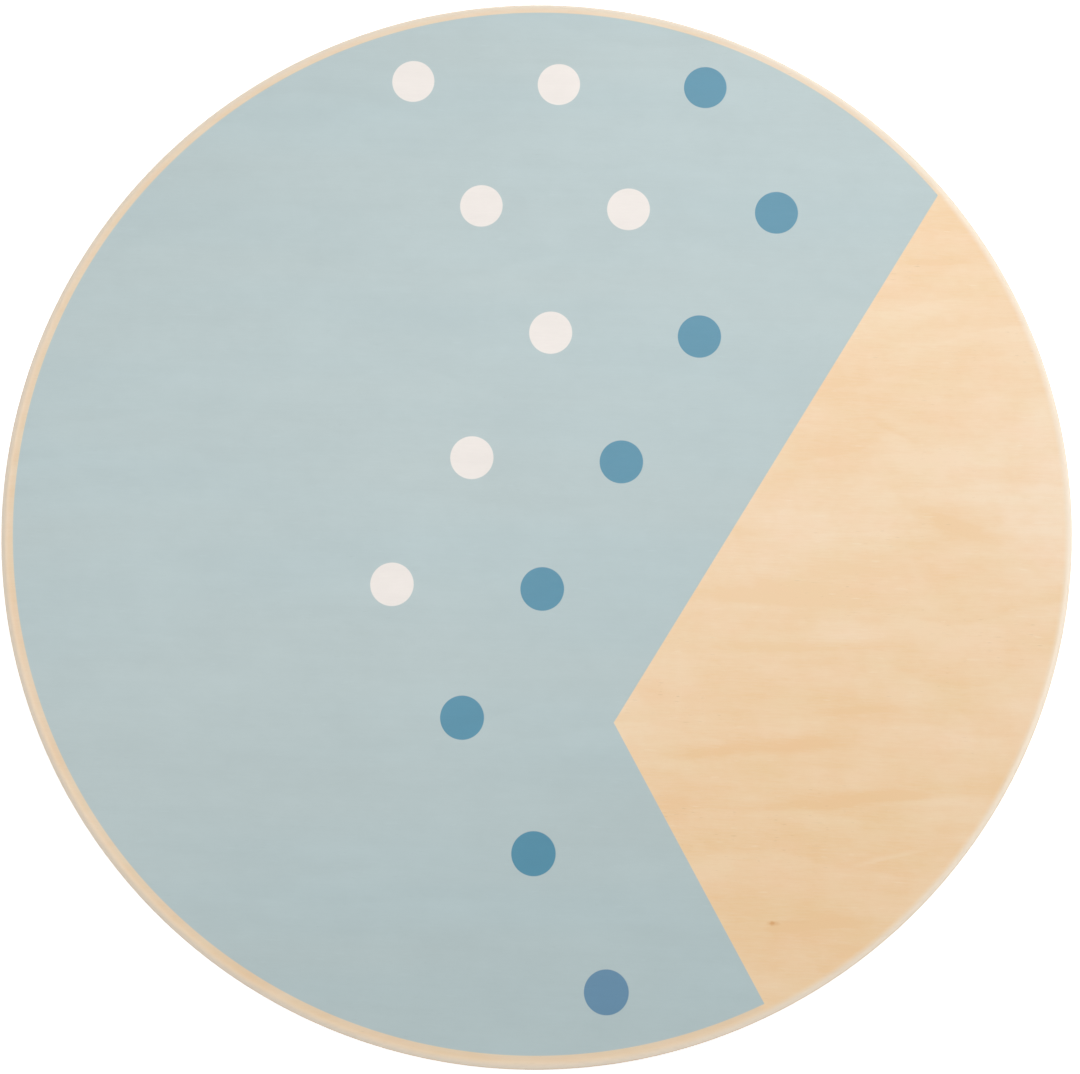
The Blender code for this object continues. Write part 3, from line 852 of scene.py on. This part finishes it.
def rim(top, bottom):
    """The edge of a ply from its top to its bottom, with points close together on a rounding."""
    heights = {top, bottom}
    for centre, side in ((DECK_TOP - EDGE_ROUNDING, 1), (DECK_BOTTOM + EDGE_ROUNDING, -1)):
        for i in range(ROUNDING_STEPS + 1):
            height = centre + side * EDGE_ROUNDING * math.sin(math.pi / 2 * i / ROUNDING_STEPS)
            if bottom + LEAST_RIM_STEP < height < top - LEAST_RIM_STEP:
                heights.add(height)
    return [(edge_radius(height), height) for height in sorted(heights, reverse=True)]


def insert_hole_cutters():
    barrel = INSERT_RADIUS + SEAT_GAP
    flange = INSERT_FLANGE_RADIUS + SEAT_GAP
    seat_top = INSERT_BOTTOM + INSERT_FLANGE + SEAT_GAP
    below = DECK_BOTTOM - CUTTER_OVERRUN
    profile = [(0.0, INSERT_HOLE_TOP), (barrel, INSERT_HOLE_TOP), (barrel, seat_top)]
    profile += [(flange, seat_top), (flange, below), (0.0, below)]
    for number, place, turn in screw_places():
        cutter = skin(f"insert_hole_{number}", circles(profile, BORE_STEPS), None)
        cutter.data.transform(Matrix.Translation((*place, 0.0)))
        yield cutter


def show_plies():
    for node, slot in slot_of.items():
        if "veneer" not in node and "core_ply" not in node:
            continue
        low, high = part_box(node)
        profile = [(0.0, high.z), *rim(high.z, low.z), (0.0, low.z)]
        piece = skin(node + "_shown", circles(profile, DECK_STEPS), finishes[slot])
        if low.z < INSERT_HOLE_TOP:
            carved(piece, list(insert_hole_cutters()))
        show(piece, node)


# Dome.

def height_on_ball(ball_radius, radius):
    """How high a ball about the dome's centre is above the floor, at a radius from the axis."""
    return BALL_CENTRE - math.sqrt(ball_radius**2 - radius**2)


def counterbore_cutter(number, place):
    """A screw's way through the dome. Its mouth flares a little all along its line on the ball."""
    shank = SCREW_RADIUS + SHANK_CLEARANCE
    top = DECK_HEIGHT + CUTTER_OVERRUN
    profile = [(0.0, top), (shank, top), (shank, HEAD_SEAT), (COUNTERBORE_RADIUS, HEAD_SEAT)]
    rings = circles(profile, BORE_STEPS)
    for outward, drop in ((0.0, BORE_EASING), (2 * BORE_EASING, -BORE_EASING)):
        ring = []
        for x, y, z in circle(COUNTERBORE_RADIUS + outward, 0.0, BORE_STEPS):
            away = math.hypot(place[0] + x, place[1] + y)
            ring.append((x, y, height_on_ball(DOME_BALL_RADIUS, away) + drop))
        rings.append(ring)
    rings.append(circle(COUNTERBORE_RADIUS + 2 * BORE_EASING, -CUTTER_OVERRUN, BORE_STEPS))
    rings.append([(0.0, 0.0, -CUTTER_OVERRUN)])
    cutter = skin(f"counterbore_{number}", rings, None)
    cutter.data.transform(Matrix.Translation((*place, 0.0)))
    return cutter


def show_dome():
    recess_radius = PAD_RADIUS + SEAT_GAP
    recess_floor = PAD_THICKNESS + SEAT_GAP
    lip_radius = recess_radius + LIP_CHAMFER
    lip_height = height_on_ball(DOME_BALL_RADIUS, lip_radius)
    pilot_radius = PAD_SCREW_RADIUS + SHANK_CLEARANCE
    pilot_end = PAD_WELL_DEPTH - SEAT_GAP + PAD_SCREW_LENGTH + CUTTER_OVERRUN
    dome_radius = math.sqrt(DOME_BALL_RADIUS**2 - (BALL_CENTRE - BAND_BOTTOM) ** 2)
    start = -math.asin((BALL_CENTRE - BAND_BOTTOM) / DOME_BALL_RADIUS)
    end = -math.acos(lip_radius / DOME_BALL_RADIUS)
    shoulder = (dome_radius - DOME_BAND_CHAMFER, DECK_HEIGHT - DOME_BAND_CHAMFER)
    profile = [
        (0.0, DECK_HEIGHT),
        *reversed(arc(shoulder, DOME_BAND_CHAMFER, 0.0, math.pi / 2, CHAMFER_STEP)),
        *arc((0.0, BALL_CENTRE), DOME_BALL_RADIUS, start, end, BALL_STEP),
        (recess_radius, lip_height + LIP_CHAMFER),
        (recess_radius, recess_floor),
        (pilot_radius, recess_floor),
        (pilot_radius, pilot_end),
        (0.0, pilot_end),
    ]
    dome = skin("rocker_dome_shown", circles(profile, DOME_STEPS), finishes["turned_beech"])
    carved(dome, [counterbore_cutter(number, place) for number, place, turn in screw_places()])
    show(dome, "rocker_dome")


# Crown pad.

def show_pad():
    hole = PAD_SCREW_RADIUS + SHANK_CLEARANCE
    edge_angle = math.acos(PAD_RADIUS / PAD_BALL_RADIUS)
    flat_angle = math.acos(PAD_FLAT_RADIUS / PAD_BALL_RADIUS)
    pitch = (flat_angle - edge_angle) / (GROOVE_COUNT + 1)
    half_width = GROOVE_WIDTH / 2 / PAD_BALL_RADIUS
    floor = PAD_BALL_RADIUS - GROOVE_DEPTH

    def on_ball(angle, ball=PAD_BALL_RADIUS):
        return ball * math.cos(angle), BALL_CENTRE - ball * math.sin(angle)

    def land(first, last):
        """The points between the two ends of a land, which is what is left of the ball beside a groove."""
        return [on_ball(first + (last - first) * k / PAD_LAND_STEPS) for k in range(1, PAD_LAND_STEPS)]

    profile = [(hole, PAD_THICKNESS), (PAD_RADIUS, PAD_THICKNESS), on_ball(edge_angle)]
    corners = {1, 2}
    previous = edge_angle
    for index in range(GROOVE_COUNT):
        middle = edge_angle + pitch * (index + 1)
        first, last = middle - half_width, middle + half_width
        profile += land(previous, first)
        groove = [on_ball(first), on_ball(first, floor), on_ball(last, floor), on_ball(last)]
        corners |= set(range(len(profile), len(profile) + len(groove)))
        profile += groove
        previous = last
    profile += land(previous, flat_angle)
    profile.append((PAD_FLAT_RADIUS, 0.0))
    corners |= {len(profile), len(profile) + 1}
    profile += [(PAD_WELL_RADIUS, 0.0), (PAD_WELL_RADIUS, PAD_WELL_DEPTH), (hole, PAD_WELL_DEPTH)]
    rings = circles(eased(profile, FINE_EASING, corners), PAD_STEPS)
    show(skin("crown_pad_shown", rings, finishes["black_rubber"], closed=True), "crown_pad")


# Fasteners.

def thread(radius, depth, top, bottom, pitch):
    """Rings that wind a thread on a shank, which runs out at both ends."""
    rings = []
    count = round((top - bottom) / pitch * RINGS_PER_THREAD)
    for k in range(count + 1):
        height = top + (bottom - top) * k / count
        fade = min(1.0, (top - height) / pitch, (height - bottom) / pitch)
        ring = []
        for i in range(SHANK_STEPS):
            turn = i / SHANK_STEPS
            wave = abs(((height / pitch - turn) % 1.0) * 2 - 1)
            here = radius - depth * fade * min(1.0, THREAD_SLOPE * wave)
            ring.append((here * math.cos(2 * math.pi * turn), here * math.sin(2 * math.pi * turn), height))
        rings.append(ring)
    return rings


def show_washer(node, hole, radius, thickness, bottom, place=(0.0, 0.0)):
    profile = [(hole, thickness), (radius, thickness), (radius, 0.0), (hole, 0.0)]
    profile = eased(profile, FINE_EASING, range(len(profile)))
    piece = skin(node + "_shown", circles(profile, BORE_STEPS), finishes["zinc_plated_steel"], closed=True)
    show(piece, node, (*place, bottom))


def socket_rings(corner_radius, depth, face, steps):
    """A six-sided socket that opens downwards at a height, with a flared mouth and a drilled bottom."""
    flare = corner_radius * SOCKET_FLARE
    return [
        circle(corner_radius + flare, face, steps),
        circle(corner_radius, face + flare, steps),
        hexagon(corner_radius, face + flare * HEXAGON_START, steps),
        hexagon(corner_radius, face + depth - corner_radius * HEXAGON_END, steps),
        circle(corner_radius * DRILL_WIDTH, face + depth - corner_radius * DRILL_EDGE, steps),
        [(0.0, 0.0, face + depth)],
    ]


def show_dome_screws():
    length = INSERT_TOP - SCREW_SEAT
    point = SCREW_RADIUS * SCREW_POINT
    thread_top, thread_bottom = length - point, INSERT_BOTTOM - SCREW_SEAT
    face = -SCREW_HEAD_HEIGHT
    easing = SCREW_HEAD_HEIGHT * HEAD_EASING
    knurl_top, knurl_bottom = -KNURL_DROP, face + easing + KNURL_RUNOUT
    brow = [
        (SCREW_HEAD_RADIUS - FINE_EASING, 0.0),
        (SCREW_HEAD_RADIUS, -FINE_EASING),
        (SCREW_HEAD_RADIUS, knurl_top + KNURL_RUNOUT),
    ]
    rings = circles([(0.0, length), (SCREW_RADIUS - point, length)], SHANK_STEPS)
    rings += thread(SCREW_RADIUS, DOME_THREAD_DEPTH, thread_top, thread_bottom, DOME_THREAD_PITCH)
    rings += circles([(SCREW_RADIUS, NECK_HEIGHT), (SCREW_RADIUS + NECK_FLARE, 0.0)], SHANK_STEPS)
    rings += circles(brow, HEAD_STEPS)
    rings += [knurled(SCREW_HEAD_RADIUS, height, HEAD_STEPS) for height in (knurl_top, knurl_bottom)]
    rings += circles([(SCREW_HEAD_RADIUS, face + easing), (SCREW_HEAD_RADIUS - easing, face)], HEAD_STEPS)
    rings += socket_rings(SOCKET_RADIUS, SOCKET_DEPTH, face, HEAD_STEPS)
    hole = SCREW_RADIUS + SHANK_CLEARANCE
    washer_bottom = SCREW_SEAT + SEAT_GAP
    for number, place, turn in screw_places():
        piece = skin(f"dome_screw_{number}_shown", rings, finishes["zinc_plated_steel"])
        show(piece, f"dome_screw_{number}", (*place, SCREW_SEAT), turn)
        node = f"dome_screw_washer_{number}"
        show_washer(node, hole, WASHER_RADIUS, WASHER_THICKNESS, washer_bottom, place)


def show_pad_screw():
    washer_bottom = PAD_WELL_DEPTH - SEAT_GAP - PAD_WASHER_THICKNESS
    hole = PAD_SCREW_RADIUS + SHANK_CLEARANCE
    show_washer("crown_pad_washer", hole, PAD_WASHER_RADIUS, PAD_WASHER_THICKNESS, washer_bottom)
    point = PAD_SCREW_RADIUS * PAD_SCREW_POINT
    thread_top = PAD_SCREW_LENGTH - point
    face = -PAD_SCREW_HEAD_HEIGHT
    rings = circles([(0.0, PAD_SCREW_LENGTH), (PAD_SCREW_RADIUS - point, PAD_SCREW_LENGTH)], SHANK_STEPS)
    rings += thread(PAD_SCREW_RADIUS, PAD_THREAD_DEPTH, thread_top, PAD_THREAD_BOTTOM, PAD_THREAD_PITCH)
    rings += circles([(PAD_SCREW_RADIUS, 0.0)], SHANK_STEPS)
    head = [(PAD_SCREW_HEAD_RADIUS - PAD_HEAD_EASING, 0.0), (PAD_SCREW_HEAD_RADIUS, -PAD_HEAD_EASING)]
    mouth = PAD_SCREW_SOCKET_RADIUS * PAD_HEAD_MOUTH
    for k in range(1, PAD_HEAD_STEPS + 1):
        turn = math.pi / 2 * k / PAD_HEAD_STEPS
        across = mouth + (PAD_SCREW_HEAD_RADIUS - mouth) * math.cos(turn)
        head.append((across, -PAD_HEAD_BRIM + (face + PAD_HEAD_BRIM) * math.sin(turn)))
    rings += circles(head, HEAD_STEPS)
    rings += socket_rings(PAD_SCREW_SOCKET_RADIUS, PAD_SCREW_SOCKET_DEPTH, face, HEAD_STEPS)
    piece = skin("crown_pad_screw_shown", rings, finishes["zinc_plated_steel"])
    show(piece, "crown_pad_screw", (0.0, 0.0, washer_bottom - SEAT_GAP))


show_plies()
show_dome()
show_pad()
show_dome_screws()
show_pad_screw()


# Camera.

camera = bpy.data.objects.new("camera", bpy.data.cameras.new("camera"))
bpy.context.scene.collection.objects.link(camera)
camera.data.sensor_width = SENSOR_WIDTH
camera.data.lens = FOCAL_PIXELS * SENSOR_WIDTH / PICTURE_WIDTH
camera.data.clip_start = CAMERA_CLIP
camera.rotation_mode = "QUATERNION"
camera.rotation_quaternion = Matrix((CAMERA_RIGHT, CAMERA_UP, CAMERA_BACK)).transposed().to_quaternion()
camera.location = (*CAMERA_PLACE, DECK_TOP + CAMERA_ABOVE_DECK)
bpy.context.scene.camera = camera


# Studio: a plain pale floor, and light from a large softbox, a small side lamp and low down all round.

def seen_directly(tree):
    """1 for rays from the camera and for reflected and refracted ones, 0 for those that light things."""
    path = add(tree, "ShaderNodeLightPath").outputs
    seen = calc(tree, "ADD", path["Is Camera Ray"], path["Is Glossy Ray"])
    return calc(tree, "MINIMUM", calc(tree, "ADD", seen, path["Is Transmission Ray"]), 1.0)


def make_floor():
    mesh = bpy.data.meshes.new("floor")
    corners = [(x * FLOOR_HALF, y * FLOOR_HALF, 0.0) for x, y in ((-1, -1), (1, -1), (1, 1), (-1, 1))]
    mesh.from_pydata(corners, [], [(0, 1, 2, 3)])
    floor = bpy.data.objects.new("floor", mesh)
    bpy.context.scene.collection.objects.link(floor)
    material, tree, shader, place = start_material("floor")
    shader.inputs["Base Color"].default_value = (*FLOOR_COLOUR, 1.0)
    shader.inputs["Roughness"].default_value = 1.0
    shader.inputs["Specular IOR Level"].default_value = 0.0
    away = distance(tree, place, (0.0, 0.0, 0.0))
    glow = between(tree, away, *FLOOR_GLOW_RISE, FLOOR_GLOW, 1.0, smooth=True)
    glow = add(tree, "ShaderNodeEmission", {"Strength": calc(tree, "MULTIPLY", seen_directly(tree), glow)})
    both = add(tree, "ShaderNodeAddShader", {0: shader.outputs[0], 1: glow.outputs[0]})
    tree.links.new(both.outputs[0], tree.nodes["Material Output"].inputs["Surface"])
    mesh.materials.append(material)


def make_world():
    """White to look at. It lights things least from above, and most from low down in front."""
    world = bpy.data.worlds.new("studio")
    bpy.context.scene.world = world
    world.use_nodes = True
    tree = world.node_tree
    background = tree.nodes["Background"]
    background.inputs["Color"].default_value = (1.0, 1.0, 1.0, 1.0)
    way = apart(tree, add(tree, "ShaderNodeTexCoord").outputs["Generated"])
    low = calc(tree, "SUBTRACT", 1.0, calc(tree, "ABSOLUTE", way[2]))
    low = calc(tree, "POWER", low, HORIZON_SHARPNESS)
    low = calc(tree, "MULTIPLY", low, calc(tree, "MULTIPLY_ADD", way[1], HORIZON_LEAN, 1.0))
    light = calc(tree, "MULTIPLY_ADD", low, HORIZON_LIGHT, WORLD_LIGHT)
    inputs = {"Factor": seen_directly(tree), "A": light, "B": 1.0}
    strength = add(tree, "ShaderNodeMix", inputs, data_type="FLOAT")
    tree.links.new(strength.outputs["Result"], background.inputs["Strength"])


def make_lamp(name, size, radiance, reach, lean, roll):
    data = bpy.data.lights.new(name, "AREA")
    data.shape = "RECTANGLE"
    data.size, data.size_y = size
    data.energy = radiance * math.pi * size[0] * size[1]
    lamp = bpy.data.objects.new(name, data)
    bpy.context.scene.collection.objects.link(lamp)
    way = Vector((*(math.tan(math.radians(angle)) for angle in lean), 1.0)).normalized()
    side = Vector((0.0, 1.0, 0.0)).cross(way).normalized()
    up = way.cross(side)
    turn = math.radians(roll)
    across = side * math.cos(turn) + up * math.sin(turn)
    along = up * math.cos(turn) - side * math.sin(turn)
    lamp.rotation_mode = "QUATERNION"
    lamp.rotation_quaternion = Matrix((across, along, way)).transposed().to_quaternion()
    lamp.location = Vector((0.0, 0.0, DECK_TOP)) + way * reach


make_floor()
make_world()
make_lamp("softbox", *SOFTBOX)
make_lamp("side_lamp", *SIDE_LAMP)
bpy.context.scene.view_settings.view_transform = "Standard"
